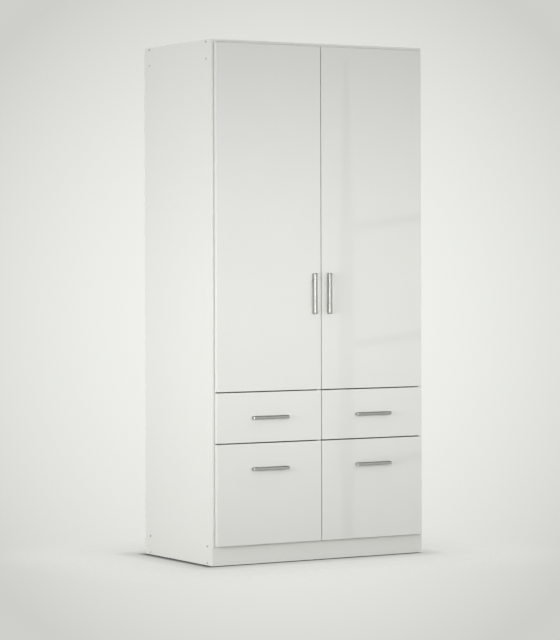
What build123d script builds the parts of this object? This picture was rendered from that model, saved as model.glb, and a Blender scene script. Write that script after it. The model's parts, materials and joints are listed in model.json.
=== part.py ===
from build123d import *
import os

# Wardrobe with two hinged doors above four drawers.
# Millimetres, X to the right, Y to the back, Z up, origin on the floor under the middle of its box.

# Overall size
overall_width = 950.0
overall_height = 2000.0

# Board thicknesses
panel_thickness = 16.0
front_thickness = 16.0
back_thickness = 3.0
drawer_side_thickness = 15.0
drawer_back_thickness = 15.0
drawer_bottom_thickness = 4.0

# Fronts: their heights and the gaps and edges that show round them
lower_front_height = 386.0
upper_front_height = 191.0
front_gap = 2.5
side_reveal = 10.5
top_reveal = 12.5
centre_gap = 3.0
row_gap = 4.0
bottom_overlap = 6.0
front_edge_radius = 1.0

# Base
glide_height = 3.0
glide_length = 40.0
glide_margin = 1.0
glide_setback = 80.0
glide_pin_radius = 1.5
glide_pin_length = 12.0
plinth_height = 64.0
rear_rail_setback = 16.0

# Fixed shelf above the drawers, and hat shelf
shelf_rise = 5.0
hat_space_height = 278.0
hat_shelf_setback = 40.0
hat_shelf_play = 0.75
shelf_rear_clearance = 3.0

# Back panels in grooves, joined by an H strip
back_setback = 10.0
back_play = 0.1
groove_depth = 6.0
groove_end_play = 0.5
strip_width = 24.0
strip_wall = 1.2
strip_end_play = 1.0

# Screws and holes in the side panels
hole_setback = 41.0
hole_pitch = 64.0
neighbour_hole_radius = 4.0
screw_length = 50.0
screw_radius = 2.5
screw_head_radius = 4.0
screw_head_length = 3.5
screw_sink = 1.0
screw_socket_radius = 2.0
screw_play = 0.05

# Pegs, dowels and shelf pins
peg_radius = 2.5
peg_skin = 6.0
peg_play = 0.1
dowel_radius = 4.0
dowel_end_depth = 20.0
dowel_setback = 60.0
pin_block_width = 10.0
pin_block_height = 8.0
pin_block_reach = 8.0
pin_setback = 45.0
pin_hole_pitch = 32.0

# Clothes rail
rail_drop = 50.0
rail_tube_height = 30.0
rail_tube_width = 15.0
rail_tube_wall = 1.0
rail_play = 0.2
socket_depth = 12.0
socket_floor = 3.0
socket_wall = 5.0
socket_peg_spread = 20.0

# Wall brackets
bracket_spacing = 400.0
bracket_width = 40.0
bracket_leg = 35.0
bracket_thickness = 2.0
bracket_hole_radius = 3.0
bracket_hole_drop = 22.0
bracket_screw_radius = 2.0
bracket_screw_length = 12.0
bracket_screw_head_radius = 4.0
bracket_screw_head_length = 2.0
bracket_screw_setback = 14.0
wall_hole_play = 1.0

# Bar handles
handle_length = 158.0
handle_hole_pitch = 128.0
handle_width = 13.0
handle_projection = 20.0
handle_bar_depth = 8.0
handle_end_radius = 6.0
handle_edge_radius = 4.0
handle_tip_radius = 5.0
handle_neck_radius = 5.0
handle_drop = 96.5
door_handle_rise = 370.2
door_handle_inset = 32.0
handle_screw_radius = 2.0
handle_screw_bite = 10.0
handle_screw_head_radius = 4.0
handle_screw_head_length = 2.5
handle_screw_play = 0.2
handle_screw_end_play = 1.0

# Concealed hinges
hinge_end_distance = 110.0
swing_clearance = 0.4
front_skin = 3.0
cup_radius = 17.5
cup_wall = 0.8
cup_floor = 0.65
cup_rim = 1.0
cup_flange = 1.0
cup_play = 0.1
wing_width = 14.0
wing_height = 64.0
wing_offset = 6.0
wing_peg_spread = 48.0
wing_peg_radius = 4.0
wing_peg_length = 10.0
pivot_pin_radius = 1.0
pivot_play = 0.05
pivot_pin_skin = 0.1
eye_radius = 2.0
eye_floor_clearance = 0.35
eye_side_clearance = 1.15
arm_thickness = 1.8
arm_height = 10.0
arm_reach = 13.5
arm_length = 60.0
channel_height = 14.0
channel_wall = 1.5
channel_start = 10.0
channel_play = 0.2
plate_thickness = 3.0
plate_width = 20.0
plate_height = 50.0
plate_setback = 37.0
plate_peg_spread = 32.0
plate_block_length = 40.0

# Drawer boxes and the rails that they run on
box_depth = 480.0
box_rear_space = 62.5
upper_box_height = 140.0
lower_box_height = 260.0
box_rise = 15.0
bottom_rise = 10.0
bottom_groove_depth = 6.0
bottom_play = 0.1
bottom_edge_play = 0.3
runner_play = 1.5
rail_depth = 7.0
rail_height = 16.0
rail_length = 470.0
rail_setback = 8.0
rail_rise = 70.0
rail_slide_play = 0.3
rail_tip_play = 0.5
rail_end_play = 2.0
rail_peg_inset = 30.0
rail_peg_web = 3.0

# Bumpers that the fronts close against
bumper_radius = 2.75
bumper_setback = 4.75
bumper_play = 0.1
door_bumper_inset = 30.0

# Planes worked out from the sizes above; the carcass is as deep as its drawer boxes need
carcass_depth = box_depth - front_gap + box_rear_space
x_out = overall_width / 2
x_in = x_out - panel_thickness
x_wall = panel_thickness / 2
y_front = -(carcass_depth - front_gap - front_thickness - handle_projection) / 2
y_back = y_front + carcass_depth
y_rear = y_front - front_gap
y_face = y_rear - front_thickness
y_groove_end = y_back - back_setback
y_sheet_back = y_groove_end - back_play
y_sheet = y_sheet_back - back_thickness
y_groove = y_sheet - back_play
y_shelf_end = y_groove - shelf_rear_clearance
z_bottom = glide_height + plinth_height
z_floor = z_bottom + panel_thickness
z_top = overall_height - panel_thickness
z_lower = z_floor - bottom_overlap
z_lower_end = z_lower + lower_front_height
z_upper = z_lower_end + row_gap
z_upper_end = z_upper + upper_front_height
z_door = z_upper_end + row_gap
z_door_end = overall_height - top_reveal
z_shelf = z_door + shelf_rise
z_shelf_top = z_shelf + panel_thickness
z_hat_shelf = z_top - hat_space_height - panel_thickness
peg_depth = panel_thickness - peg_skin

# Fronts reach from the outer edge to the middle gap
x_front_outer = x_out - side_reveal
x_front_inner = centre_gap / 2
x_front_middle = (x_front_outer + x_front_inner) / 2

# Hinge pivot: as deep in the door as its skin allows, and as far in as the swing past the panel allows
pivot_depth = front_thickness - front_skin - cup_floor - eye_floor_clearance - eye_radius
panel_overlap = panel_thickness - side_reveal
free_gap = front_gap - swing_clearance
pivot_inset = (panel_overlap**2 + free_gap**2 + 2 * free_gap * pivot_depth) / (2 * panel_overlap)
pivot_x = -x_front_outer + pivot_inset
pivot_y = y_rear - pivot_depth
cup_edge = pivot_inset - eye_radius - eye_side_clearance - cup_wall
cup_x = -x_front_outer + cup_edge + cup_radius
cup_depth = front_thickness - front_skin
hinge_heights = (z_door + hinge_end_distance, (z_door + z_door_end) / 2, z_door_end - hinge_end_distance)

# Rows of holes and pegs that more than one piece shares
hole_rows = (y_front + hole_setback, y_back - hole_setback)
screw_levels = (z_bottom + panel_thickness / 2, z_top + panel_thickness / 2)
free_levels = (screw_levels[0] - hole_pitch, screw_levels[1] - hole_pitch)
dowel_rows = (y_front + dowel_setback, y_shelf_end - dowel_setback)
pin_rows = (y_front + hat_shelf_setback + pin_setback, y_shelf_end - pin_setback)
glide_rows = (y_front + glide_setback, y_back - glide_setback)
plinth_y = y_front + panel_thickness / 2
rear_rail_y = y_back - rear_rail_setback - panel_thickness / 2
plinth_middle = glide_height + plinth_height / 2
rail_y = (y_front + y_shelf_end) / 2
rail_z = z_hat_shelf - rail_drop
runner_start = y_front + rail_setback
runner_end = runner_start + rail_length
runner_peg_rows = (runner_start + rail_peg_inset, runner_end - rail_peg_inset)
runner_peg_depth = (panel_thickness - rail_peg_web) / 2
box_bottoms = {"upper": z_upper + box_rise, "lower": z_lower + box_rise}
box_heights = {"upper": upper_box_height, "lower": lower_box_height}
front_bottoms = {"upper": z_upper, "lower": z_lower}
front_heights = {"upper": upper_front_height, "lower": lower_front_height}
bracket_places = (-bracket_spacing / 2, bracket_spacing / 2)
bracket_hole_z = z_top - bracket_hole_drop
screw_tip = -x_out + screw_sink + screw_length


def block(x0, x1, y0, y1, z0, z1):
    """Board between two opposite corners."""
    middle = Pos((x0 + x1) / 2, (y0 + y1) / 2, (z0 + z1) / 2)
    return middle * Box(abs(x1 - x0), abs(y1 - y0), abs(z1 - z0))


def rod_x(radius, x0, x1, y, z):
    """Round rod along X."""
    return Pos((x0 + x1) / 2, y, z) * Rot(0, 90, 0) * Cylinder(radius, abs(x1 - x0))


def rod_y(radius, y0, y1, x, z):
    """Round rod along Y."""
    return Pos(x, (y0 + y1) / 2, z) * Rot(90, 0, 0) * Cylinder(radius, abs(y1 - y0))


def rod_z(radius, z0, z1, x, y):
    """Round rod along Z."""
    return Pos(x, y, (z0 + z1) / 2) * Cylinder(radius, abs(z1 - z0))


def flip(piece):
    """The same piece on the other side of the cabinet."""
    return mirror(piece, about=Plane.YZ)


def both_sides(pieces):
    """Left pieces and their mirror images."""
    return list(pieces) + [flip(piece) for piece in pieces]


def save(name, *pieces):
    """Write one node; several pieces stay separate solids."""
    solids = [solid for piece in pieces for solid in piece.solids()]
    shape = solids[0] if len(solids) == 1 else Compound(children=solids)
    export_step(shape, f"parts/{name}.step")


# Screws, dowels and pegs on the left side, and the holes that they go in

def carcass_screw(y, z):
    """Screw through the left side panel, with a hexagon socket in its head."""
    head_start = -x_out + screw_sink
    head_end = head_start + screw_head_length
    screw = rod_x(screw_head_radius, head_start, head_end, y, z)
    screw += rod_x(screw_radius, head_end, screw_tip, y, z)
    socket = extrude(RegularPolygon(screw_socket_radius, 6), screw_head_length)
    return screw - Pos(head_start, y, z) * Rot(0, 90, 0) * socket


def carcass_screw_hole(y, z):
    """Room for one screw and its head, seen from the left."""
    head_end = -x_out + screw_sink + screw_head_length
    head = rod_x(screw_head_radius + screw_play, -x_out, head_end, y, z)
    return head + rod_x(screw_radius + screw_play, head_end, screw_tip + screw_play, y, z)


def side_dowels():
    """Dowels from the left side panel into the fixed shelf, the plinth board and the rear rail."""
    start = -x_in - peg_depth
    end = -x_in + dowel_end_depth
    shelf_middle = z_shelf + panel_thickness / 2
    dowels = [rod_x(dowel_radius, start, end, y, shelf_middle) for y in dowel_rows]
    dowels += [rod_x(dowel_radius, start, end, y, plinth_middle) for y in (plinth_y, rear_rail_y)]
    return dowels


def partition_dowels():
    """Dowels from the partition's ends into the fixed shelf and the bottom panel."""
    dowels = []
    for y in dowel_rows:
        dowels.append(rod_z(dowel_radius, z_shelf - dowel_end_depth, z_shelf + peg_depth, 0, y))
        dowels.append(rod_z(dowel_radius, z_floor - peg_depth, z_floor + dowel_end_depth, 0, y))
    return dowels


def peg_hole(y, z):
    """Blind hole in the inner face of the left side panel."""
    return rod_x(peg_radius + peg_play, -x_in - peg_depth - peg_play, -x_in, y, z)


def hinge_peg_places():
    """Where the hinge plates are pegged to the side panel."""
    row = y_front + plate_setback
    half = plate_peg_spread / 2
    return [(row, z + step) for z in hinge_heights for step in (-half, half)]


def socket_peg_places():
    """Where a clothes rail socket is pegged to the side panel."""
    half = socket_peg_spread / 2
    return [(rail_y, rail_z - half), (rail_y, rail_z + half)]


def shelf_pin_level():
    """Height of the pegs of the shelf pins."""
    return z_hat_shelf - pin_block_height / 2


def shelf_hole_places():
    """Three levels of holes for the hat shelf's pins."""
    steps = (-pin_hole_pitch, 0, pin_hole_pitch)
    return [(y, shelf_pin_level() + step) for y in pin_rows for step in steps]


def runner_levels():
    """Heights of the drawer rails."""
    return [bottom + rail_rise for bottom in box_bottoms.values()]


def runner_peg_holes(x0, x1):
    """Blind holes for the pegs of the drawer rails, between two planes."""
    places = [(y, z) for y in runner_peg_rows for z in runner_levels()]
    return [rod_x(peg_radius + peg_play, x0, x1, y, z) for y, z in places]


# Carcass boards

def side_panel():
    """Left side panel with its back groove and every hole."""
    panel = block(-x_out, -x_in, y_front, y_back, glide_height, overall_height)
    groove = block(-x_in - groove_depth, -x_in, y_groove, y_groove_end, z_bottom, overall_height)
    places = hinge_peg_places() + socket_peg_places() + shelf_hole_places()
    cuts = [peg_hole(y, z) for y, z in places]
    cuts += [carcass_screw_hole(y, z) for y in hole_rows for z in screw_levels]
    cuts += [rod_x(neighbour_hole_radius, -x_out, -x_in, y, z) for y in hole_rows for z in free_levels]
    cuts += runner_peg_holes(-x_in - runner_peg_depth - peg_play, -x_in)
    cuts += side_dowels()
    cuts += [glide_pin(-x_out + panel_thickness / 2, y) for y in glide_rows]
    return panel - [groove] - cuts


def cross_panel(z, groove_z):
    """Top or bottom panel between the side panels, grooved for the back."""
    panel = block(-x_in, x_in, y_front, y_back, z, z + panel_thickness)
    groove = block(-x_in, x_in, y_groove, y_groove_end, groove_z, groove_z + groove_depth)
    level = z + panel_thickness / 2
    return panel - [groove] - both_sides([carcass_screw_hole(y, level) for y in hole_rows])


def top_panel():
    """Top panel, with pilot holes for the wall brackets' screws."""
    return cross_panel(z_top, z_top) - bracket_screws()


def bottom_panel():
    """Bottom panel, with dowel holes for the partition."""
    return cross_panel(z_bottom, z_floor - groove_depth) - partition_dowels()


def plinth(y):
    """Board under the bottom panel, across the cabinet."""
    half = panel_thickness / 2
    board = block(-x_in, x_in, y - half, y + half, glide_height, z_bottom)
    return board - both_sides(side_dowels()) - [glide_pin(0, y)]


def drawer_shelf():
    """Fixed shelf between the drawers and the hanging space."""
    board = block(-x_in, x_in, y_front, y_shelf_end, z_shelf, z_shelf_top)
    return board - both_sides(side_dowels()) - partition_dowels()


def centre_partition():
    """Upright board between the left and the right drawers."""
    board = block(-x_wall, x_wall, y_front, y_shelf_end, z_floor, z_shelf)
    cuts = runner_peg_holes(-x_wall, -x_wall + runner_peg_depth + peg_play)
    return board - both_sides(cuts) - partition_dowels()


def back_sheet():
    """Left back panel, held in the grooves and in the joint strip."""
    slack = groove_depth - groove_end_play
    sheet = block(-x_in - slack, -strip_wall / 2, y_sheet, y_sheet_back, z_floor - slack, z_top + slack)
    radius = bracket_hole_radius + wall_hole_play
    return sheet - rod_y(radius, y_sheet, y_sheet_back, bracket_places[0], bracket_hole_z)


def back_joint_strip():
    """H strip that holds the two back panels together."""
    z0 = z_floor + strip_end_play
    z1 = z_top - strip_end_play
    half = strip_width / 2
    strip = block(-half, half, y_sheet - strip_wall, y_sheet, z0, z1)
    strip += block(-half, half, y_sheet_back, y_sheet_back + strip_wall, z0, z1)
    return strip + block(-strip_wall / 2, strip_wall / 2, y_sheet, y_sheet_back, z0, z1)


# Shelf, clothes rail, glides and wall brackets

def hat_shelf():
    """Loose shelf above the clothes rail."""
    half = x_in - hat_shelf_play
    top = z_hat_shelf + panel_thickness
    return block(-half, half, y_front + hat_shelf_setback, y_shelf_end, z_hat_shelf, top)


def shelf_pin(y):
    """Pin on the left side panel: a peg and the block that the shelf lies on."""
    half = pin_block_width / 2
    bottom = z_hat_shelf - pin_block_height
    pin = block(-x_in, -x_in + pin_block_reach, y - half, y + half, bottom, z_hat_shelf)
    return pin + rod_x(peg_radius, -x_in - peg_depth, -x_in, y, shelf_pin_level())


def oval(length, height, width):
    """Oval bar along X, from X = 0."""
    return Rot(0, 90, 0) * extrude(SlotOverall(height, width), length)


def clothes_rail():
    """Oval steel tube between the two sockets."""
    half = x_in - socket_floor - rail_play
    tube = oval(2 * half, rail_tube_height, rail_tube_width)
    inner = oval(2 * half, rail_tube_height - 2 * rail_tube_wall, rail_tube_width - 2 * rail_tube_wall)
    return Pos(-half, rail_y, rail_z) * (tube - inner)


def rail_socket():
    """Socket on the left side panel, open at the top so that the rail drops in."""
    half_width = rail_tube_width / 2 + socket_wall
    half_height = rail_tube_height / 2 + socket_wall
    top = rail_z + half_height
    bottom = rail_z - half_height
    mouth_start = -x_in + socket_floor
    mouth_end = -x_in + socket_depth
    body = block(-x_in, mouth_end, rail_y - half_width, rail_y + half_width, bottom, top)
    seat = oval(socket_depth, rail_tube_height + 2 * rail_play, rail_tube_width + 2 * rail_play)
    mouth_half = rail_tube_width / 2 + rail_play
    mouth = block(mouth_start, mouth_end, rail_y - mouth_half, rail_y + mouth_half, rail_z, top)
    socket = body - mouth - Pos(mouth_start, rail_y, rail_z) * seat
    for y, z in socket_peg_places():
        socket += rod_x(peg_radius, -x_in - peg_depth, -x_in, y, z)
    return socket


def glide_pin(x, y):
    """Pin of one glide, up into the board above it."""
    return rod_z(glide_pin_radius, glide_height, glide_height + glide_pin_length, x, y)


def glide(x, y, along_y):
    """Low foot under the edge of a board."""
    half_width = panel_thickness / 2 - glide_margin
    half_length = glide_length / 2
    half_x = half_width if along_y else half_length
    half_y = half_length if along_y else half_width
    return block(x - half_x, x + half_x, y - half_y, y + half_y, 0, glide_height) + glide_pin(x, y)


def floor_glides():
    """Glides under the side panels, the plinth board and the rear rail."""
    side_x = -x_out + panel_thickness / 2
    sides = both_sides([glide(side_x, y, True) for y in glide_rows])
    return sides + [glide(0, y, False) for y in (plinth_y, rear_rail_y)]


def bracket_screw(x):
    """Screw up through a wall bracket into the top panel."""
    y = y_sheet - bracket_leg + bracket_screw_setback
    leg = z_top - bracket_thickness
    screw = rod_z(bracket_screw_head_radius, leg - bracket_screw_head_length, leg, x, y)
    return screw + rod_z(bracket_screw_radius, leg, leg + bracket_screw_length, x, y)


def bracket_screws():
    """One screw to each wall bracket."""
    return [bracket_screw(x) for x in bracket_places]


def wall_bracket(x):
    """Angle under the top panel with a hole towards the wall."""
    half = bracket_width / 2
    bottom = z_top - bracket_leg
    angle = block(x - half, x + half, y_sheet - bracket_leg, y_sheet, z_top - bracket_thickness, z_top)
    angle += block(x - half, x + half, y_sheet - bracket_thickness, y_sheet, bottom, z_top)
    angle -= rod_y(bracket_hole_radius, y_sheet - bracket_thickness, y_sheet, x, bracket_hole_z)
    return angle - bracket_screw(x)


# Handles

def handle():
    """Level bar handle on two feet, its mounting face on Y = 0 and its bar towards -Y."""
    half = handle_length / 2
    half_width = handle_width / 2
    foot = handle_length - handle_hole_pitch
    gap_half = half - foot
    gap_depth = handle_projection - handle_bar_depth
    plan = Pos(0, -handle_projection / 2) * Rectangle(handle_length, handle_projection)
    plan = fillet(plan.vertices().group_by(Axis.Y)[0], handle_tip_radius)
    gap = Pos(0, -gap_depth / 2) * Rectangle(2 * gap_half, gap_depth)
    plan -= fillet(gap.vertices().group_by(Axis.Y)[0], handle_neck_radius)
    bar = Pos(0, 0, -half_width) * extrude(plan, handle_width)
    face = fillet(Rectangle(handle_length, handle_width).vertices(), handle_end_radius)
    bar &= Rot(90, 0, 0) * extrude(face, handle_projection)
    section = Pos(0, -handle_projection / 2) * Rectangle(handle_width, handle_projection)
    section = fillet(section.vertices().group_by(Axis.Y)[0], handle_edge_radius)
    bar &= Rot(0, -90, 0) * Pos(0, 0, -half) * extrude(section, handle_length)
    bite = handle_screw_bite + handle_screw_end_play
    holes = [rod_y(handle_screw_radius, -bite, 0, x, 0) for x in handle_hole_places()]
    return bar - holes


def handle_hole_places():
    """The two screw places of a handle, from its middle."""
    return (-handle_hole_pitch / 2, handle_hole_pitch / 2)


def handle_screw(x):
    """Screw from behind a front into a handle's foot, with the front's outer face on Y = 0."""
    back = front_thickness
    screw = rod_y(handle_screw_head_radius, back, back + handle_screw_head_length, x, 0)
    return screw + rod_y(handle_screw_radius, -handle_screw_bite, back, x, 0)


def handle_screw_hole(x):
    """Hole through a front for one handle screw, with the front's outer face on Y = 0."""
    return rod_y(handle_screw_radius + handle_screw_play, 0, front_thickness, x, 0)


def place_all(place, maker):
    """The two copies of a screw or hole of one handle, at that handle's place."""
    return [place * maker(x) for x in handle_hole_places()]


# Doors and hinges

def front_board(x0, x1, z0, z1):
    """Front board with softly rounded edges."""
    board = block(x0, x1, y_face, y_rear, z0, z1)
    return fillet(board.edges(), front_edge_radius)


def pivot_pin(z):
    """Pin that the hinge turns on, seated in the walls of its cup."""
    offset = cup_x - pivot_x + pivot_pin_radius
    half = (cup_radius**2 - offset**2) ** 0.5 - pivot_pin_skin
    return rod_z(pivot_pin_radius, z - half, z + half, pivot_x, pivot_y)


def wing_pegs(z, play):
    """Two pegs that hold a hinge cup in the door."""
    half = wing_peg_spread / 2
    x = cup_x + wing_offset
    tip = y_rear - wing_peg_length - play
    return [rod_y(wing_peg_radius + play, tip, y_rear, x, level) for level in (z - half, z + half)]


def hinge_cup(z):
    """Cup let into the back of the left door, with its flange and wings."""
    y_flange = y_rear + cup_flange
    half_wing = wing_width / 2
    half_height = wing_height / 2
    wing_x = cup_x + wing_offset
    cup = rod_y(cup_radius, y_rear - cup_depth, y_rear, cup_x, z)
    cup += rod_y(cup_radius + cup_rim, y_rear, y_flange, cup_x, z)
    cup += block(wing_x - half_wing, wing_x + half_wing, y_rear, y_flange, z - half_height, z + half_height)
    cup += wing_pegs(z, 0)
    hollow = rod_y(cup_radius - cup_wall, y_rear - cup_depth + cup_floor, y_flange, cup_x, z)
    return cup - hollow - pivot_pin(z)


def hinge_recess(z):
    """Bores in the left door for one cup and its pegs."""
    bore = rod_y(cup_radius + cup_play, y_rear - cup_depth, y_rear, cup_x, z)
    return [bore] + wing_pegs(z, cup_play)


def hinge_arm(z):
    """Swan-neck arm: an eye on the pin, a neck out of the cup and a channel over the plate."""
    half = arm_thickness / 2
    half_height = arm_height / 2
    half_channel = channel_height / 2
    web = pivot_x + arm_reach
    tail = y_front + arm_length
    start = y_front + channel_start
    arm = rod_z(eye_radius, z - half_height, z + half_height, pivot_x, pivot_y)
    arm += block(pivot_x, web + half, pivot_y - half, pivot_y + half, z - half_height, z + half_height)
    arm += block(web - half, web + half, pivot_y - half, tail, z - half_height, z + half_height)
    arm += block(web - half, web + half, start, tail, z - half_channel, z + half_channel)
    for side in (-1, 1):
        outer = z + side * half_channel
        inner = z + side * (half_channel - channel_wall)
        arm += block(-x_in + plate_thickness + channel_play, web, start, tail, inner, outer)
    eye_bore = pivot_pin_radius + pivot_play
    return arm - rod_z(eye_bore, z - half_height, z + half_height, pivot_x, pivot_y)


def hinge_plate(z):
    """Mounting plate on the left side panel, with the block that carries the arm."""
    row = y_front + plate_setback
    half_width = plate_width / 2
    half_height = plate_height / 2
    half_block = channel_height / 2 - channel_wall - channel_play
    half_length = plate_block_length / 2
    web_face = pivot_x + arm_reach - arm_thickness / 2
    top = -x_in + plate_thickness
    plate = block(-x_in, top, row - half_width, row + half_width, z - half_height, z + half_height)
    plate += block(-x_in, web_face, row - half_length, row + half_length, z - half_block, z + half_block)
    for level in (z - plate_peg_spread / 2, z + plate_peg_spread / 2):
        plate += rod_x(peg_radius, -x_in - peg_depth, -x_in, row, level)
    return plate


def door_handle_place():
    """Where the left door's handle stands, turned upright."""
    return Pos(-x_front_inner - door_handle_inset, y_face, z_door + door_handle_rise) * Rot(0, 90, 0)


def door_panel():
    """Left door with its hinge recesses and handle holes."""
    board = front_board(-x_front_outer, -x_front_inner, z_door, z_door_end)
    recesses = [cut for z in hinge_heights for cut in hinge_recess(z)]
    return board - recesses - place_all(door_handle_place(), handle_screw_hole)


def bumper(x, z):
    """Small pad on a front edge of the carcass."""
    return rod_y(bumper_radius, y_rear + bumper_play, y_front, x, z)


def bumpers():
    """Pads behind the doors and behind the drawer fronts, left ones first."""
    shelf_middle = z_shelf + panel_thickness / 2
    left = [bumper(-door_bumper_inset, shelf_middle), bumper(-x_in + door_bumper_inset, shelf_middle)]
    for level in front_bottoms:
        left.append(bumper(-bumper_setback, front_bottoms[level] + front_heights[level] / 2))
    return both_sides(left)


# Drawers on the left, upper and lower

def drawer_box_planes():
    """Outer faces of a left drawer box, beside the side panel and beside the partition."""
    return -x_in + runner_play, -x_wall - runner_play


def drawer_bottom_level(level):
    """Underside of a drawer's bottom board."""
    return box_bottoms[level] + bottom_rise


def drawer_bottom(level, play):
    """Bottom board of a drawer, or with play the grooves that it goes in."""
    outer, inner = drawer_box_planes()
    edge = drawer_side_thickness - bottom_groove_depth + bottom_edge_play
    z0 = drawer_bottom_level(level)
    front = y_rear - bottom_groove_depth + bottom_edge_play
    x0 = outer + edge
    x1 = inner - edge
    room = bottom_edge_play if play else 0
    z1 = z0 + drawer_bottom_thickness
    return block(x0 - room, x1 + room, front - room, y_rear + box_depth, z0 - play, z1 + play)


def drawer_side(level, x0, x1, rail_face, rail_way):
    """Side of a drawer box, grooved for its rail and for the bottom board."""
    z0 = box_bottoms[level]
    z = z0 + rail_rise
    half = rail_height / 2 + rail_slide_play
    deep = rail_face + rail_way * (rail_depth - runner_play + rail_tip_play)
    board = block(x0, x1, y_rear, y_rear + box_depth, z0, z0 + box_heights[level])
    groove = block(rail_face, deep, runner_start - rail_end_play, y_rear + box_depth, z - half, z + half)
    return board - groove - drawer_bottom(level, bottom_play)


def drawer_outer_side(level):
    """Drawer side beside the side panel."""
    face = drawer_box_planes()[0]
    return drawer_side(level, face, face + drawer_side_thickness, face, 1)


def drawer_inner_side(level):
    """Drawer side beside the partition."""
    face = drawer_box_planes()[1]
    return drawer_side(level, face - drawer_side_thickness, face, face, -1)


def drawer_back(level):
    """Back of a drawer box, standing on the bottom board."""
    outer, inner = drawer_box_planes()
    x0 = outer + drawer_side_thickness
    x1 = inner - drawer_side_thickness
    y1 = y_rear + box_depth
    z0 = drawer_bottom_level(level) + drawer_bottom_thickness
    return block(x0, x1, y1 - drawer_back_thickness, y1, z0, box_bottoms[level] + box_heights[level])


def drawer_handle_place(level):
    """Where a left drawer's handle sits."""
    top = front_bottoms[level] + front_heights[level]
    return Pos(-x_front_middle, y_face, top - handle_drop)


def drawer_front(level):
    """Drawer front with its bottom groove and handle holes."""
    z0 = front_bottoms[level]
    board = front_board(-x_front_outer, -x_front_inner, z0, z0 + front_heights[level])
    holes = place_all(drawer_handle_place(level), handle_screw_hole)
    return board - drawer_bottom(level, bottom_play) - holes


def runner(x_face, way, z):
    """Rail that a drawer runs on, pegged to a board's face, standing out along way."""
    half = rail_height / 2
    rail = block(x_face, x_face + way * rail_depth, runner_start, runner_end, z - half, z + half)
    for y in runner_peg_rows:
        rail += rod_x(peg_radius, x_face - way * runner_peg_depth, x_face, y, z)
    return rail


def drawer_rails():
    """Rails of the left drawers, then those of the right."""
    left = []
    for z in runner_levels():
        left.append(runner(-x_in, 1, z))
        left.append(runner(-x_wall, -1, z))
    return both_sides(left)


def drawer_pieces(level):
    """Every piece of a left drawer, by name."""
    place = drawer_handle_place(level)
    return {
        "front": [drawer_front(level)],
        "outer_side": [drawer_outer_side(level)],
        "inner_side": [drawer_inner_side(level)],
        "back": [drawer_back(level)],
        "bottom": [drawer_bottom(level, 0)],
        "handle": [place * handle()],
        "handle_screws": place_all(place, handle_screw),
    }


def door_pieces():
    """Every piece of the left door, by name."""
    place = door_handle_place()
    return {
        "panel": [door_panel()],
        "handle": [place * handle()],
        "handle_screws": place_all(place, handle_screw),
        "hinge_cups": [hinge_cup(z) for z in hinge_heights],
        "hinge_pins": [pivot_pin(z) for z in hinge_heights],
    }


def save_both(prefix, pieces):
    """Write a left assembly and its mirror image on the right."""
    for name, solids in pieces.items():
        save(prefix.format("left") + "_" + name, *solids)
        save(prefix.format("right") + "_" + name, *[flip(solid) for solid in solids])


def carcass_screws():
    """Screws through both side panels."""
    return both_sides([carcass_screw(y, z) for y in hole_rows for z in screw_levels])


def build():
    """Write every node."""
    os.makedirs("parts", exist_ok=True)
    left_side = side_panel()
    save("left_side_panel", left_side)
    save("right_side_panel", flip(left_side))
    save("top_panel", top_panel())
    save("bottom_panel", bottom_panel())
    save("plinth_board", plinth(plinth_y))
    save("rear_plinth_rail", plinth(rear_rail_y))
    save("drawer_shelf", drawer_shelf())
    save("centre_partition", centre_partition())
    save("back_panels", *both_sides([back_sheet()]))
    save("back_joint_strip", back_joint_strip())
    save("hat_shelf", hat_shelf())
    save("shelf_pins", *both_sides([shelf_pin(y) for y in pin_rows]))
    save("clothes_rail", clothes_rail())
    save("rail_sockets", *both_sides([rail_socket()]))
    save("floor_glides", *floor_glides())
    save("wall_brackets", *[wall_bracket(x) for x in bracket_places])
    save("carcass_screws", *carcass_screws(), *bracket_screws())
    save("joint_dowels", *both_sides(side_dowels()), *partition_dowels())
    save("hinge_plates", *both_sides([hinge_plate(z) for z in hinge_heights]))
    save("hinge_arms", *both_sides([hinge_arm(z) for z in hinge_heights]))
    save("drawer_rails", *drawer_rails())
    save("bumpers", *bumpers())
    save_both("{}_door", door_pieces())
    for level in front_bottoms:
        save_both(level + "_{}_drawer", drawer_pieces(level))


build()
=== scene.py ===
import json
import math

import bmesh
import bpy
from mathutils import Matrix, Vector

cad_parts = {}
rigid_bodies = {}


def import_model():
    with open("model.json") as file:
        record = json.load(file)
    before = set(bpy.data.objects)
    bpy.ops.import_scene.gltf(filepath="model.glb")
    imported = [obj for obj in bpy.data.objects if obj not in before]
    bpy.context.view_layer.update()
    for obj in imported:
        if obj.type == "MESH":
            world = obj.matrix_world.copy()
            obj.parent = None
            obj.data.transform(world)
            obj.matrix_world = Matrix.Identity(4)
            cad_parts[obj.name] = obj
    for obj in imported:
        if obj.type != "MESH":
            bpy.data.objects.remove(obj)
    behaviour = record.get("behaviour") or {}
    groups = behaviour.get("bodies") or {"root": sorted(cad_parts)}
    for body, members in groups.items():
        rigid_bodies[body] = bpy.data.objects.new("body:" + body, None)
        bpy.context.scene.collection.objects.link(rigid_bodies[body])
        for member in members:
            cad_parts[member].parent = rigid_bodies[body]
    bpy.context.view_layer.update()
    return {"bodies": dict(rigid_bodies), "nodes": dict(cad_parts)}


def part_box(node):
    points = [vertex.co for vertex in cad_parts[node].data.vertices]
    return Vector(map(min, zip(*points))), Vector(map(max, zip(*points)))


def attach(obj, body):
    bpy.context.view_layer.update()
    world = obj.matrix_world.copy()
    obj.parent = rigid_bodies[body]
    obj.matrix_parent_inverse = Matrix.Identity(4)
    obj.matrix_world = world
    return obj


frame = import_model()
nodes = frame["nodes"]
scene = bpy.context.scene
scene.view_settings.view_transform = "Standard"

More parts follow.
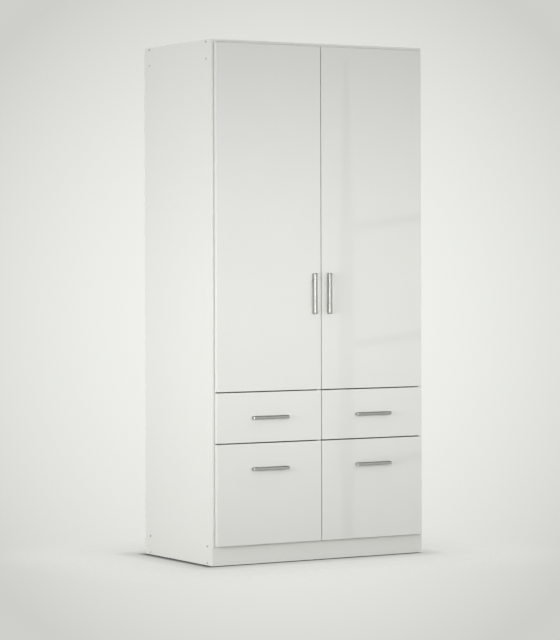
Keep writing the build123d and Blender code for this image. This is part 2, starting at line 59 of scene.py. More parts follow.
# Photograph's frame in pixels, and the camera that was fitted to the cabinet's edges in it: angles
# in radians, places in metres, the sensor in millimetres
FRAME_WIDTH = 560
FRAME_HEIGHT = 640
FOCAL_PIXELS = 2691.8
HORIZON_ROW = 260.55
CAMERA_YAW = math.radians(30.704)
CAMERA_ROLL = -0.0027
CAMERA_DISTANCE = 10.662
CAMERA_ASIDE = -0.012
CAMERA_HEIGHT = 1.160
SENSOR = 36.0

# Background as the camera sees it: bright behind the cabinet, dim round it, pale all about
PALE_TINT = (0.990, 1.0, 0.957)
BACKGROUND_BRIGHT = 0.91
BACKGROUND_DIM = 0.624
BACKGROUND_ABOUT = 0.80
BACKGROUND_ROW = 318
BACKGROUND_REACH = math.radians(8.2)
BACKGROUND_RING = math.radians(22.0)

# Ceiling: the sines of the angles where it sets in and is reached, and its share of brightness
CEILING_START = 0.25
CEILING_END = 0.75
CEILING_SHARE = 0.30

# Background as gloss and metal show it: a bright band at the horizon, dimmer above and below
BAND_BRIGHT = 0.90
BAND_DIM = 0.16
BAND_START = 0.12
BAND_END = 0.60

# Light that the background gives, from the sides and from above
AMBIENT_LEVEL = 0.282
AMBIENT_ABOVE = 0.78
AMBIENT_TINT = (1.0, 1.0, 0.99)

# Floor: the colour that throws light back, and the colour and the glow that are seen. The glow
# sets in over three distances from the cabinet's outline, each with its strength, which paints a
# soft shadow round the cabinet on top of its real shadow, and the floor clears away further out.
# The painted shade lies a little to the left and the back.
FLOOR_COLOUR = (0.336, 0.34, 0.325)
FLOOR_SHOWN = (0.198, 0.20, 0.191)
FLOOR_GLOW_AND_PAINTED_SHADE = ((0.025, 0.354), (0.12, 0.182), (0.40, 0.034))
FLOOR_PAINTED_SHADE_ASIDE = Vector((-0.010, 0.010, 0.0))
FLOOR_ROUGHNESS = 0.9
FLOOR_SPECULAR = 0.1
FLOOR_RADIUS = 2.0
FLOOR_SIDES = 96
FLOOR_FADE_START = 0.05
FLOOR_FADE_END = 0.70

# Window that the glossy fronts on the right mirror faintly: how far before them it is, and where
# its bars show in the photograph's frame. The upright bar is given by rows, with its left and its
# right column at each, and thins out at both ends. The level bars rise to the right.
WINDOW_BEFORE = 2.5
UPRIGHT_BAR = ((60, 345, 349), (250, 339, 354), (460, 339, 354), (550, 344, 351))
LEVEL_COLUMNS = (354, 440)
LEVEL_ROWS = (223, 340, 461)
LEVEL_THICK = 9
LEVEL_RISE = 0.15

# Carcass on the floor: its middle, which the camera looks past, and half its size
side_low, side_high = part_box("left_side_panel")
carcass_middle = Vector((0.0, (side_low.y + side_high.y) / 2, 0.0))
carcass_half = Vector((-side_low.x, (side_high.y - side_low.y) / 2, 0.0))

# Camera's place and its level directions
camera_ahead = Vector((math.sin(CAMERA_YAW), math.cos(CAMERA_YAW), 0.0))
camera_aside = Vector((math.cos(CAMERA_YAW), -math.sin(CAMERA_YAW), 0.0))
camera_place = carcass_middle - camera_ahead * CAMERA_DISTANCE + camera_aside * CAMERA_ASIDE
camera_place.z = CAMERA_HEIGHT


# Small helpers for node trees

def node(tree, kind, **settings):
    """New node with some of its own properties set."""
    made = tree.nodes.new(kind)
    for name, value in settings.items():
        setattr(made, name, value)
    return made


def link(tree, source, target):
    """Lead one node's output into another's input."""
    tree.links.new(source, target)


def math_node(tree, operation, first, second):
    """Sum, product or the like of two sockets, or of a socket and a number."""
    made = node(tree, "ShaderNodeMath", operation=operation)
    for socket, value in zip(made.inputs, (first, second)):
        if isinstance(value, float):
            socket.default_value = value
        else:
            link(tree, value, socket)
    return made.outputs[0]


def vector_node(tree, operation, first, second=None):
    """Vector node on a socket, and on a fixed vector where it takes two."""
    made = node(tree, "ShaderNodeVectorMath", operation=operation)
    link(tree, first, made.inputs[0])
    if second is not None:
        made.inputs[1].default_value = second
    return made.outputs["Value" if operation in ("LENGTH", "DOT_PRODUCT") else "Vector"]


def map_range(tree, source, low, high, to_low, to_high, smooth=False):
    """Source between low and high, mapped to another range and clamped to it."""
    made = node(tree, "ShaderNodeMapRange", clamp=True)
    made.interpolation_type = "SMOOTHSTEP" if smooth else "LINEAR"
    made.inputs["From Min"].default_value = low
    made.inputs["From Max"].default_value = high
    made.inputs["To Min"].default_value = to_low
    made.inputs["To Max"].default_value = to_high
    link(tree, source, made.inputs["Value"])
    return made.outputs["Result"]


def noise(tree, scale, detail, stretch=None):
    """Noise in the part's own frame, in metres, drawn out along an axis where stretch is small."""
    place = node(tree, "ShaderNodeTexCoord").outputs["Object"]
    if stretch is not None:
        mapping = node(tree, "ShaderNodeMapping")
        mapping.inputs["Scale"].default_value = stretch
        link(tree, place, mapping.inputs["Vector"])
        place = mapping.outputs["Vector"]
    made = node(tree, "ShaderNodeTexNoise")
    made.inputs["Scale"].default_value = scale
    made.inputs["Detail"].default_value = detail
    link(tree, place, made.inputs["Vector"])
    return made.outputs["Fac"]


def from_noise(tree, source, low=0.0, high=1.0, within=(0.3, 0.7)):
    """Noise, most of which lies within narrow limits, drawn out between a low and a high value."""
    return map_range(tree, source, *within, low, high)


def blend_colours(tree, factor, first, second):
    """Colour between two others, each a colour or another node's socket."""
    made = node(tree, "ShaderNodeMix", data_type="RGBA")
    link(tree, factor, made.inputs["Factor"])
    for name, colour in (("A", first), ("B", second)):
        socket = [s for s in made.inputs if s.name == name and s.type == "RGBA"][0]
        if isinstance(colour, tuple):
            socket.default_value = (*colour, 1.0)
        else:
            link(tree, colour, socket)
    return [s for s in made.outputs if s.type == "RGBA"][0]


def bump(tree, shader, height, distance, strength=1.0):
    """Relief on a shader, with its depth in metres."""
    made = node(tree, "ShaderNodeBump")
    made.inputs["Distance"].default_value = distance
    made.inputs["Strength"].default_value = strength
    link(tree, height, made.inputs["Height"])
    link(tree, made.outputs["Normal"], shader.inputs["Normal"])


def new_material(name, roughness, metallic=0.0):
    """Material with a principled shader, returned with its tree and shader."""
    material = bpy.data.materials.new(name)
    material.use_nodes = True
    tree = material.node_tree
    shader = tree.nodes["Principled BSDF"]
    shader.inputs["Roughness"].default_value = roughness
    shader.inputs["Metallic"].default_value = metallic
    return material, tree, shader


def shade(colour, share):
    """The same colour, lighter or darker."""
    return tuple(share * value for value in colour)


# Materials

def melamine(name, colour, roughness):
    """Board faced with melamine: fine pearl grain and faint clouds of tone."""
    material, tree, shader = new_material(name, roughness)
    clouds = from_noise(tree, noise(tree, scale=5.0, detail=3.0))
    speck = from_noise(tree, noise(tree, scale=420.0, detail=1.0), within=(0.35, 0.65))
    soft = blend_colours(tree, clouds, shade(colour, share=0.985), colour)
    base = blend_colours(tree, speck, shade(colour, share=0.975), soft)
    link(tree, base, shader.inputs["Base Color"])
    grain = noise(tree, scale=900.0, detail=2.0)
    uneven = 0.06
    gloss = from_noise(tree, grain, low=roughness - uneven, high=roughness + uneven)
    link(tree, gloss, shader.inputs["Roughness"])
    bump(tree, shader, grain, distance=0.00012, strength=0.5)
    return material


def high_gloss(name, colour):
    """Fronts in high-gloss foil: a clear coat over white, with a trace of orange peel."""
    material, tree, shader = new_material(name, roughness=0.22)
    clouds = from_noise(tree, noise(tree, scale=4.0, detail=3.0))
    base = blend_colours(tree, clouds, shade(colour, share=0.985), colour)
    link(tree, base, shader.inputs["Base Color"])
    shader.inputs["Coat Weight"].default_value = 1.0
    shader.inputs["Coat Roughness"].default_value = 0.04
    bump(tree, shader, noise(tree, scale=70.0, detail=2.0), distance=0.00003)
    return material


def foil(name, colour, roughness):
    """Drawer boards in satin foil with a faint linen weave."""
    material, tree, shader = new_material(name, roughness)
    warp = noise(tree, scale=260.0, detail=1.0, stretch=(1.0, 0.08, 1.0))
    weft = noise(tree, scale=260.0, detail=1.0, stretch=(1.0, 1.0, 0.08))
    threads = math_node(tree, "ADD", warp, weft)
    tone = from_noise(tree, threads, within=(0.7, 1.3))
    base = blend_colours(tree, tone, shade(colour, share=0.96), colour)
    link(tree, base, shader.inputs["Base Color"])
    bump(tree, shader, threads, distance=0.0001, strength=0.4)
    return material


def hardboard(name, face_colour, raw_colour):
    """Thin sheet, lacquered white towards the inside and raw fibre towards the back and below."""
    face_roughness, raw_roughness = 0.42, 0.8
    turned_from, turned_to = 0.45, 0.55
    material, tree, shader = new_material(name, roughness=0.55)
    fibres = from_noise(tree, noise(tree, scale=240.0, detail=4.0))
    patches = from_noise(tree, noise(tree, scale=9.0, detail=3.0))
    raw = blend_colours(tree, fibres, shade(raw_colour, share=0.72), raw_colour)
    raw = blend_colours(tree, patches, shade(raw_colour, share=0.88), raw)
    face = blend_colours(tree, patches, shade(face_colour, share=0.98), face_colour)
    axes = node(tree, "ShaderNodeSeparateXYZ")
    place = node(tree, "ShaderNodeTexCoord")
    link(tree, place.outputs["Normal"], axes.inputs["Vector"])
    behind = map_range(tree, axes.outputs["Y"], turned_from, turned_to, 0.0, 1.0)
    below = map_range(tree, axes.outputs["Z"], -turned_to, -turned_from, 1.0, 0.0)
    hidden = math_node(tree, "MAXIMUM", behind, below)
    link(tree, blend_colours(tree, hidden, face, raw), shader.inputs["Base Color"])
    gloss = map_range(tree, hidden, 0.0, 1.0, face_roughness, raw_roughness)
    link(tree, gloss, shader.inputs["Roughness"])
    bump(tree, shader, fibres, distance=0.00015, strength=0.35)
    return material


def brushed_steel(name, colour, along):
    """Satin steel with brush lines along one axis."""
    material, tree, shader = new_material(name, roughness=0.3, metallic=1.0)
    drawn_out = 0.02
    stretch = tuple(drawn_out if axis == along else 1.0 for axis in "xyz")
    lines = noise(tree, scale=1500.0, detail=3.0, stretch=stretch)
    base = blend_colours(tree, from_noise(tree, lines), shade(colour, share=0.82), colour)
    link(tree, base, shader.inputs["Base Color"])
    link(tree, from_noise(tree, lines, low=0.24, high=0.40), shader.inputs["Roughness"])
    bump(tree, shader, lines, distance=0.00004, strength=0.6)
    return material


def plated_steel(name, colour, smoothest, roughest):
    """Plated metal whose gloss varies in small soft patches."""
    material, tree, shader = new_material(name, roughness=smoothest, metallic=1.0)
    patches = noise(tree, scale=90.0, detail=1.0)
    base = blend_colours(tree, from_noise(tree, patches), shade(colour, share=0.96), colour)
    link(tree, base, shader.inputs["Base Color"])
    link(tree, from_noise(tree, patches, low=smoothest, high=roughest), shader.inputs["Roughness"])
    bump(tree, shader, noise(tree, scale=900.0, detail=2.0), distance=0.00003, strength=0.4)
    return material


def moulded_plastic(name, colour, roughness):
    """Moulded plastic with a fine spark-eroded grain."""
    material, tree, shader = new_material(name, roughness)
    grain = noise(tree, scale=1300.0, detail=2.0)
    tone = from_noise(tree, noise(tree, scale=40.0, detail=2.0))
    base = blend_colours(tree, tone, shade(colour, share=0.97), colour)
    link(tree, base, shader.inputs["Base Color"])
    bump(tree, shader, grain, distance=0.00006, strength=0.5)
    return material


def beech(name, colour):
    """Dowel wood with short grain."""
    material, tree, shader = new_material(name, roughness=0.6)
    grain = noise(tree, scale=500.0, detail=4.0, stretch=(0.1, 1.0, 1.0))
    base = blend_colours(tree, from_noise(tree, grain), shade(colour, share=0.75), colour)
    link(tree, base, shader.inputs["Base Color"])
    bump(tree, shader, grain, distance=0.0001, strength=0.5)
    return material


WHITE_BOARD = (0.83, 0.832, 0.797)
WHITE_FRONT = (0.80, 0.803, 0.768)
WHITE_FOIL = (0.80, 0.80, 0.77)
WHITE_LACQUER = (0.79, 0.79, 0.76)
RAW_FIBRE = (0.36, 0.25, 0.155)
NICKEL = (0.72, 0.71, 0.69)
CHROME = (0.74, 0.74, 0.74)
ZINC = (0.34, 0.34, 0.33)
WHITE_PLASTIC = (0.80, 0.80, 0.77)
DARK_PLASTIC = (0.06, 0.06, 0.06)
PALE_RUBBER = (0.66, 0.66, 0.64)
BEECH = (0.62, 0.44, 0.26)
materials = {
    "carcass_board": melamine("carcass_board_white", WHITE_BOARD, roughness=0.48),
    "front_gloss": high_gloss("front_gloss_white", WHITE_FRONT),
    "drawer_board": foil("drawer_board_foil", WHITE_FOIL, roughness=0.42),
    "thin_sheet": hardboard("thin_sheet_hardboard", WHITE_LACQUER, RAW_FIBRE),
    "fitting_steel": plated_steel("fitting_nickel", NICKEL, smoothest=0.22, roughest=0.30),
    "rail_chrome": plated_steel("rail_chrome", CHROME, smoothest=0.06, roughest=0.12),
    "screw_steel": plated_steel("screw_zinc", ZINC, smoothest=0.35, roughest=0.5),
    "white_plastic": moulded_plastic("white_plastic_satin", WHITE_PLASTIC, roughness=0.4),
    "glide_plastic": moulded_plastic("glide_plastic_dark", DARK_PLASTIC, roughness=0.5),
    "bumper_rubber": moulded_plastic("bumper_pale", PALE_RUBBER, roughness=0.55),
    "dowel_wood": beech("dowel_beech", BEECH),
}
HANDLE_COLOUR = (0.52, 0.515, 0.50)
level_steel = brushed_steel("handle_steel_level", HANDLE_COLOUR, along="x")
upright_steel = brushed_steel("handle_steel_upright", HANDLE_COLOUR, along="z")


def dress(name, piece):
    """Give one CAD node its finish, by the slot that the record names."""
    for slot in piece.material_slots:
        kind = slot.material.name.split(".")[0]
        if kind == "handle_steel":
            slot.material = upright_steel if "door" in name else level_steel
        else:
            slot.material = materials[kind]


for node_name, node_object in nodes.items():
    dress(node_name, node_object)


# Small fasteners: screw heads on hinges, handles and drawers, and the drawers' cam fittings

# Heads: points round one, how deep it is set in, the share of its height that its rim rounds over
# in some steps, and the angle from which an edge stays sharp
HEAD_SIDES = 24
HEAD_SEAT = 0.0003
RIM_SHARE = 0.45
RIM_STEPS = 3
SHARP_ANGLE = math.radians(35)

# Cross recess: how narrow an arm is against its reach, where the cut starts and ends against the
# head's height, and how wide the cross is at each of the two
CROSS_NARROW = 0.27
CROSS_CUT = (0.2, 1.5)
CROSS_WIDTH = (0.7, 1.1)

# Where the heads sit, in metres: on the hinges, on the drawers, and how far outside a drawer's
# side the search for its face starts
HINGE_ROW = 0.037
PLATE_SCREW_STEP = 0.016
CUP_SCREW_STEP = 0.024
CUP_SCREW_ASIDE = 0.006
ARM_SCREW_STEP = 0.015
CAM_BEHIND_FRONT = 0.034
CAM_FROM_EDGE = 0.040
BACK_SCREW_FROM_EDGE = 0.032
SEARCH_OUTSIDE = 0.037

# Corners of a CAD node closer together than this are one corner
SAME_PLACE = 1e-6


def stacked(name, rings):
    """Closed mesh through rings of as many points each, from the lowest up, with flat ends."""
    count = len(rings[0])
    points = [point for ring in rings for point in ring]
    faces = [tuple(reversed(range(count))), tuple(range(len(points) - count, len(points)))]
    for start in range(0, len(points) - count, count):
        for side in range(count):
            after = (side + 1) % count
            above = start + count
            faces.append((start + side, start + after, above + after, above + side))
    mesh = bpy.data.meshes.new(name)
    mesh.from_pydata(points, [], faces)
    return mesh


def cut_out(mesh, cutter):
    """The first mesh with the second cut out of it."""
    pieces = [bpy.data.objects.new(shape.name, shape) for shape in (mesh, cutter)]
    for piece in pieces:
        scene.collection.objects.link(piece)
    pieces[0].modifiers.new("cut", "BOOLEAN").object = pieces[1]
    graph = bpy.context.evaluated_depsgraph_get()
    made = bpy.data.meshes.new_from_object(pieces[0].evaluated_get(graph))
    for piece in pieces:
        bpy.data.meshes.remove(piece.data)
    return made


def head_shape(name, radius, height, recess):
    """Head that faces up from the origin, with a rounded rim and a cross recess of that reach."""
    rim = RIM_SHARE * height
    profile = [(radius, -HEAD_SEAT)]
    for step in range(RIM_STEPS + 1):
        turn = math.pi / 2 * step / RIM_STEPS
        profile.append((radius - rim + rim * math.cos(turn), height - rim + rim * math.sin(turn)))
    turns = [2 * math.pi * side / HEAD_SIDES for side in range(HEAD_SIDES)]
    rings = [
        [(out * math.cos(turn), out * math.sin(turn), up) for turn in turns]
        for out, up in profile
    ]

    narrow = CROSS_NARROW * recess
    quarter = [(recess, narrow), (narrow, narrow), (narrow, recess)]
    cross = []
    for _ in range(4):
        cross += quarter
        quarter = [(-y, x) for x, y in quarter]
    cutter = [
        [(wide * x, wide * y, up * height) for x, y in cross]
        for wide, up in zip(CROSS_WIDTH, CROSS_CUT)
    ]
    return cut_out(stacked(name, rings), stacked(name + "_recess", cutter))


def solid_boxes(name):
    """Lowest and highest corner of each separate solid in a CAD node, in order of place."""
    mesh = bmesh.new()
    mesh.from_mesh(nodes[name].data)
    bmesh.ops.remove_doubles(mesh, verts=mesh.verts, dist=SAME_PLACE)
    waiting = set(mesh.verts)
    boxes = []
    while waiting:
        reached = [waiting.pop()]
        points = []
        while reached:
            vert = reached.pop()
            points.append(vert.co.copy())
            near = {edge.other_vert(vert) for edge in vert.link_edges} & waiting
            waiting -= near
            reached += near
        low = tuple(min(point[axis] for point in points) for axis in range(3))
        high = tuple(max(point[axis] for point in points) for axis in range(3))
        boxes.append((low, high))
    mesh.free()
    return [(Vector(low), Vector(high)) for low, high in sorted(boxes)]


def seat(name, start, towards):
    """Where a line from a point first meets a CAD node, and the way that a head there faces."""
    direction = Vector(towards)
    met, place, _, _ = nodes[name].ray_cast(Vector(start), direction)
    if not met:
        raise ValueError(f"no surface of {name} from {tuple(start)}")
    return place, -direction


def add_heads(name, body, slot, shape, seats):
    """One piece with a head at each seat, which rides on a body."""
    joined = bmesh.new()
    for place, facing in seats:
        first = len(joined.verts)
        joined.from_mesh(shape)
        joined.verts.ensure_lookup_table()
        turn = facing.to_track_quat("Z", "Y").to_matrix().to_4x4()
        seated = Matrix.Translation(place) @ turn
        bmesh.ops.transform(joined, matrix=seated, verts=joined.verts[first:])
    mesh = bpy.data.meshes.new(name)
    joined.to_mesh(mesh)
    joined.free()
    mesh.shade_smooth()
    mesh.set_sharp_from_angle(angle=SHARP_ANGLE)
    mesh.materials.append(materials[slot])
    piece = bpy.data.objects.new(name, mesh)
    scene.collection.objects.link(piece)
    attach(piece, body)


def middle(box):
    """Point halfway between a box's lowest and highest corner."""
    return (box[0] + box[1]) / 2


def add_hinge_screws():
    """Screws in the hinge plates, in the arms and in the wings of the cups."""
    row = side_low.y + HINGE_ROW
    plate_seats = []
    arm_seats = []
    for box in solid_boxes("hinge_plates"):
        height = middle(box).z
        outward = (math.copysign(1.0, middle(box).x), 0.0, 0.0)
        for step in (-PLATE_SCREW_STEP, PLATE_SCREW_STEP):
            plate_seats.append(seat("hinge_plates", (0.0, row, height + step), outward))
        for step in (0.0, ARM_SCREW_STEP):
            arm_seats.append(seat("hinge_arms", (0.0, row + step, height), outward))
    add_heads("hinge_plate_screws", "carcass", "fitting_steel", pan_head, plate_seats)
    add_heads("hinge_arm_screws", "carcass", "fitting_steel", pan_head, arm_seats)
    for body in ("left_door", "right_door"):
        cups = body + "_hinge_cups"
        seats = []
        for box in solid_boxes(cups):
            centre = middle(box)
            aside = centre.x - math.copysign(CUP_SCREW_ASIDE, centre.x)
            for step in (-CUP_SCREW_STEP, CUP_SCREW_STEP):
                seats.append(seat(cups, (aside, 0.0, centre.z + step), (0.0, -1.0, 0.0)))
        add_heads(body + "_cup_screws", body, "fitting_steel", pan_head, seats)


def add_handle_screw_heads(body):
    """Cross-recessed crowns on the two screws that hold a handle from behind."""
    screws = body + "_handle_screws"
    seats = []
    for box in solid_boxes(screws):
        centre = middle(box)
        seats.append(seat(screws, (centre.x, 0.0, centre.z), (0.0, -1.0, 0.0)))
    add_heads(body + "_handle_screw_heads", body, "screw_steel", crown_head, seats)


def add_drawer_fittings(body):
    """Cam fittings that hold a drawer's front, and the screws that hold its back."""
    box_middle = middle(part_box(body + "_bottom"))
    back_middle = middle(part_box(body + "_back"))
    cams = []
    screws = []
    for side in (body + "_outer_side", body + "_inner_side"):
        low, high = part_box(side)
        away = math.copysign(1.0, middle((low, high)).x - box_middle.x)
        for height in (low.z + CAM_FROM_EDGE, high.z - CAM_FROM_EDGE):
            start = (box_middle.x, low.y + CAM_BEHIND_FRONT, height)
            cams.append(seat(side, start, (away, 0.0, 0.0)))
        outside = (low.x if away < 0 else high.x) + away * SEARCH_OUTSIDE
        for height in (low.z + BACK_SCREW_FROM_EDGE, high.z - BACK_SCREW_FROM_EDGE):
            screws.append(seat(side, (outside, back_middle.y, height), (-away, 0.0, 0.0)))
    add_heads(body + "_cam_fittings", body, "fitting_steel", cam_head, cams)
    add_heads(body + "_back_screws", body, "screw_steel", flat_head, screws)


pan_head = head_shape("pan_head", radius=0.0034, height=0.0014, recess=0.0020)
crown_head = head_shape("crown_head", radius=0.0038, height=0.0008, recess=0.0024)
cam_head = head_shape("cam_head", radius=0.0075, height=0.0006, recess=0.0034)
flat_head = head_shape("flat_head", radius=0.0035, height=0.0004, recess=0.0021)
add_hinge_screws()
for body_name in frame["bodies"]:
    if body_name != "carcass":
        add_handle_screw_heads(body_name)
    if body_name.endswith("drawer"):
        add_drawer_fittings(body_name)


# The set: floor, background, window, lamps and camera

def ray_kinds(tree):
    """1 for a ray straight from the camera, and 1 for one by way of gloss, metal or glass."""
    path = node(tree, "ShaderNodeLightPath")
    glossy = path.outputs["Is Glossy Ray"]
    mirrored = math_node(tree, "MAXIMUM", glossy, path.outputs["Is Transmission Ray"])
    return path.outputs["Is Camera Ray"], mirrored


def distance_from_cabinet(tree):
    """Distance on the floor from the cabinet's outline, moved a little aside where the painted
    shade lies, 0 under the cabinet.
    """
    place = node(tree, "ShaderNodeTexCoord").outputs["Object"]
    centre = carcass_middle + FLOOR_PAINTED_SHADE_ASIDE
    offset = vector_node(tree, "ABSOLUTE", vector_node(tree, "SUBTRACT", place, centre))
    beyond = vector_node(tree, "SUBTRACT", offset, carcass_half)
    return vector_node(tree, "LENGTH", vector_node(tree, "MAXIMUM", beyond, (0.0, 0.0, 0.0)))


def make_floor():
    """Pale round floor that keeps the real shadow near the object, adds a painted shade round its
    outline, and clears away further out.
    """
    mesh = bpy.data.meshes.new("studio_floor")
    turns = [2 * math.pi * side / FLOOR_SIDES for side in range(FLOOR_SIDES)]
    rim = [(FLOOR_RADIUS * math.cos(turn), FLOOR_RADIUS * math.sin(turn), 0.0) for turn in turns]
    mesh.from_pydata(rim, [], [tuple(range(FLOOR_SIDES))])
    floor = bpy.data.objects.new("studio_floor", mesh)
    scene.collection.objects.link(floor)
    material, tree, shader = new_material("studio_floor", FLOOR_ROUGHNESS)
    shader.inputs["Specular IOR Level"].default_value = FLOOR_SPECULAR
    away = distance_from_cabinet(tree)
    camera, mirrored = ray_kinds(tree)
    seen = math_node(tree, "MAXIMUM", camera, mirrored)
    link(tree, blend_colours(tree, seen, FLOOR_COLOUR, FLOOR_SHOWN), shader.inputs["Base Color"])
    # Less glow near the cabinet's outline and none under it: a painted shadow round the base, on
    # top of the real one.
    steps = [map_range(tree, away, 0.0, reach, 0.0, strength) for reach, strength in FLOOR_GLOW_AND_PAINTED_SHADE]
    glow_with_painted_shade = steps[0]
    for step in steps[1:]:
        glow_with_painted_shade = math_node(tree, "ADD", glow_with_painted_shade, step)
    glow = node(tree, "ShaderNodeEmission")
    glow.inputs["Color"].default_value = (*PALE_TINT, 1.0)
    link(tree, math_node(tree, "MULTIPLY", seen, glow_with_painted_shade), glow.inputs["Strength"])
    pale = node(tree, "ShaderNodeAddShader")
    link(tree, shader.outputs[0], pale.inputs[0])
    link(tree, glow.outputs[0], pale.inputs[1])
    mix = node(tree, "ShaderNodeMixShader")
    clear = node(tree, "ShaderNodeBsdfTransparent")
    faded = map_range(tree, away, FLOOR_FADE_START, FLOOR_FADE_END, 0.0, 1.0, smooth=True)
    link(tree, faded, mix.inputs["Fac"])
    link(tree, pale.outputs[0], mix.inputs[1])
    link(tree, clear.outputs[0], mix.inputs[2])
    link(tree, mix.outputs[0], tree.nodes["Material Output"].inputs["Surface"])
    mesh.materials.append(material)


def sight_line(column, row):
    """Line from the camera through a place in the photograph's frame, 1 long along the view."""
    right = (column - FRAME_WIDTH / 2) / FOCAL_PIXELS
    up = (HORIZON_ROW - row) / FOCAL_PIXELS
    return camera_ahead + camera_aside * right + Vector((0.0, 0.0, up))


def in_window(column, row):
    """Point before the fronts that they mirror to that place in the photograph's frame."""
    point = camera_place + sight_line(column, row) * (CAMERA_DISTANCE + WINDOW_BEFORE)
    point.y = 2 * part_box("right_door_panel")[0].y - point.y
    return point


def make_window():
    """Dark window bars that only mirrored rays meet, so that they give the fronts no shade."""
    bars = []
    for (top, left, right), (bottom, low_left, low_right) in zip(UPRIGHT_BAR, UPRIGHT_BAR[1:]):
        bars.append(((left, top), (right, top), (low_right, bottom), (low_left, bottom)))
    start, end = LEVEL_COLUMNS
    rise = LEVEL_RISE * (end - start)
    for row in LEVEL_ROWS:
        low = row + LEVEL_THICK
        bars.append(((start, row), (end, row - rise), (end, low - rise), (start, low)))
    points = []
    faces = []
    for bar in bars:
        faces.append(tuple(range(len(points), len(points) + len(bar))))
        points += [in_window(*corner) for corner in bar]
    mesh = bpy.data.meshes.new("window_bars")
    mesh.from_pydata(points, [], faces)
    window = bpy.data.objects.new("window_bars", mesh)
    scene.collection.objects.link(window)
    material, _, shader = new_material("window_bars", roughness=1.0)
    shader.inputs["Base Color"].default_value = (0.0, 0.0, 0.0, 1.0)
    shader.inputs["Specular IOR Level"].default_value = 0.0
    mesh.materials.append(material)
    window.visible_camera = False
    window.visible_diffuse = False
    window.visible_shadow = False


def background(tree, colour, strength):
    """Background shader of one colour and a strength that varies."""
    made = node(tree, "ShaderNodeBackground")
    made.inputs["Color"].default_value = (*colour, 1.0)
    link(tree, strength, made.inputs["Strength"])
    return made.outputs[0]


def make_background():
    """World that gives soft light, and shows pale with a soft fall towards the frame's corners."""
    world = bpy.data.worlds.new("studio")
    world.use_nodes = True
    scene.world = world
    tree = world.node_tree
    tree.nodes.clear()
    ahead = sight_line(FRAME_WIDTH / 2, BACKGROUND_ROW).normalized()
    direction = node(tree, "ShaderNodeTexCoord").outputs["Generated"]
    axes = node(tree, "ShaderNodeSeparateXYZ")
    link(tree, direction, axes.inputs["Vector"])
    height = axes.outputs["Z"]

    facing = vector_node(tree, "DOT_PRODUCT", direction, ahead)
    near, ring = math.cos(BACKGROUND_REACH), math.cos(BACKGROUND_RING)
    behind = map_range(tree, facing, near, 1.0, BACKGROUND_DIM, BACKGROUND_BRIGHT)
    about = map_range(tree, facing, ring, near, BACKGROUND_ABOUT, BACKGROUND_DIM)
    ceiling = map_range(tree, height, CEILING_START, CEILING_END, 1.0, CEILING_SHARE, smooth=True)
    shown = math_node(tree, "MULTIPLY", math_node(tree, "MAXIMUM", behind, about), ceiling)

    squared = math_node(tree, "POWER", height, 2.0)
    band = map_range(tree, squared, BAND_START**2, BAND_END**2, BAND_BRIGHT, BAND_DIM, smooth=True)
    given = map_range(tree, height, 0.0, 1.0, AMBIENT_LEVEL, AMBIENT_ABOVE)

    camera, mirrored = ray_kinds(tree)
    unseen = node(tree, "ShaderNodeMixShader")
    link(tree, mirrored, unseen.inputs["Fac"])
    link(tree, background(tree, AMBIENT_TINT, given), unseen.inputs[1])
    link(tree, background(tree, PALE_TINT, band), unseen.inputs[2])
    mix = node(tree, "ShaderNodeMixShader")
    link(tree, camera, mix.inputs["Fac"])
    link(tree, unseen.outputs[0], mix.inputs[1])
    link(tree, background(tree, PALE_TINT, shown), mix.inputs[2])
    output = node(tree, "ShaderNodeOutputWorld")
    link(tree, mix.outputs[0], output.inputs["Surface"])


def make_lamp(name, place, target, size, power, spread, mirrored=False):
    """Soft rectangular lamp aimed at a point, which gloss and metal show only where mirrored."""
    data = bpy.data.lights.new(name, "AREA")
    data.shape = "RECTANGLE"
    data.size, data.size_y = size
    data.energy = power
    data.spread = math.radians(spread)
    lamp = bpy.data.objects.new(name, data)
    lamp.location = place
    aim = Vector(target) - Vector(place)
    lamp.rotation_euler = aim.to_track_quat("-Z", "Y").to_euler()
    lamp.visible_camera = False
    lamp.visible_glossy = mirrored
    scene.collection.objects.link(lamp)
    return lamp


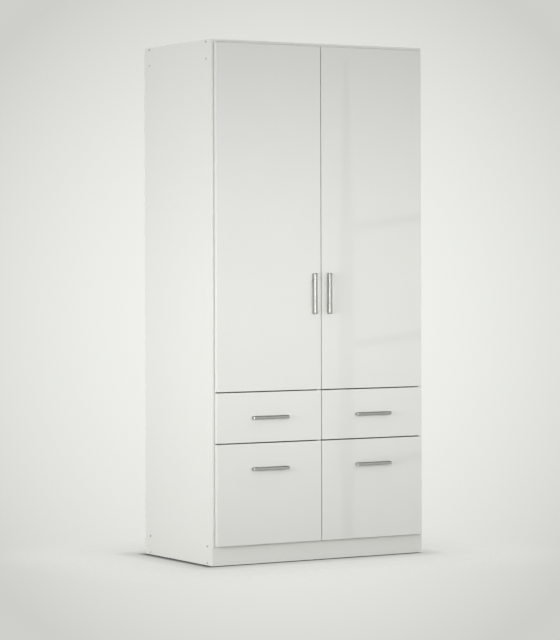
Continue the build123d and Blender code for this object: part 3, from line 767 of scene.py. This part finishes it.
def light_only(lamp, names):
    """Let a lamp fall on some CAD nodes alone."""
    receivers = bpy.data.collections.new(lamp.name + "_receivers")
    for name in names:
        receivers.objects.link(nodes[name])
    lamp.light_linking.receiver_collection = receivers


def make_camera():
    """Level camera at the photograph's place, its frame shifted down as in the photograph."""
    data = bpy.data.cameras.new("photo_camera")
    data.sensor_width = SENSOR
    data.lens = FOCAL_PIXELS / FRAME_HEIGHT * SENSOR
    data.shift_y = (HORIZON_ROW - FRAME_HEIGHT / 2) / FRAME_HEIGHT
    camera = bpy.data.objects.new("photo_camera", data)
    turn = camera_ahead.to_track_quat("-Z", "Y").to_matrix().to_4x4()
    roll = Matrix.Rotation(CAMERA_ROLL, 4, "Z")
    camera.matrix_world = Matrix.Translation(camera_place) @ turn @ roll
    scene.collection.objects.link(camera)
    scene.camera = camera


make_floor()
make_background()
make_window()
make_lamp("left_lamp", place=(-3.3, -0.9, 0.95), target=(-0.47, 0.0, 0.88),
          size=(2.2, 0.8), power=24.4, spread=110)
make_lamp("front_lamp", place=(0.4, -3.4, 1.1), target=(0.08, -0.27, 0.95),
          size=(2.5, 1.6), power=8.65, spread=60)
make_lamp("back_lamp", place=(1.4, 3.6, 1.7), target=(0.0, 0.29, 1.0),
          size=(2.0, 1.4), power=16.0, spread=140)
make_lamp("right_lamp", place=(3.3, 0.7, 0.95), target=(0.47, 0.0, 0.95),
          size=(1.6, 1.0), power=11.0, spread=110)
make_lamp("top_lamp", place=(0.0, 0.05, 3.6), target=(0.0, 0.05, 2.0),
          size=(0.9, 0.6), power=3.0, spread=120, mirrored=True)

# The left lamp gives the handles a bright line, but in the glossy fronts it would be a white patch.
# So it isn't mirrored, and the handles have a lamp of their own just before it, because of two
# lamps at the same place metal shows only one.
handle_lamp = make_lamp("handle_lamp", place=(-3.2, -0.9, 0.95), target=(-0.47, 0.0, 0.88),
                        size=(2.2, 0.8), power=24.4, spread=110, mirrored=True)
light_only(handle_lamp, [name for name in nodes if name.endswith("_handle")])
make_camera()
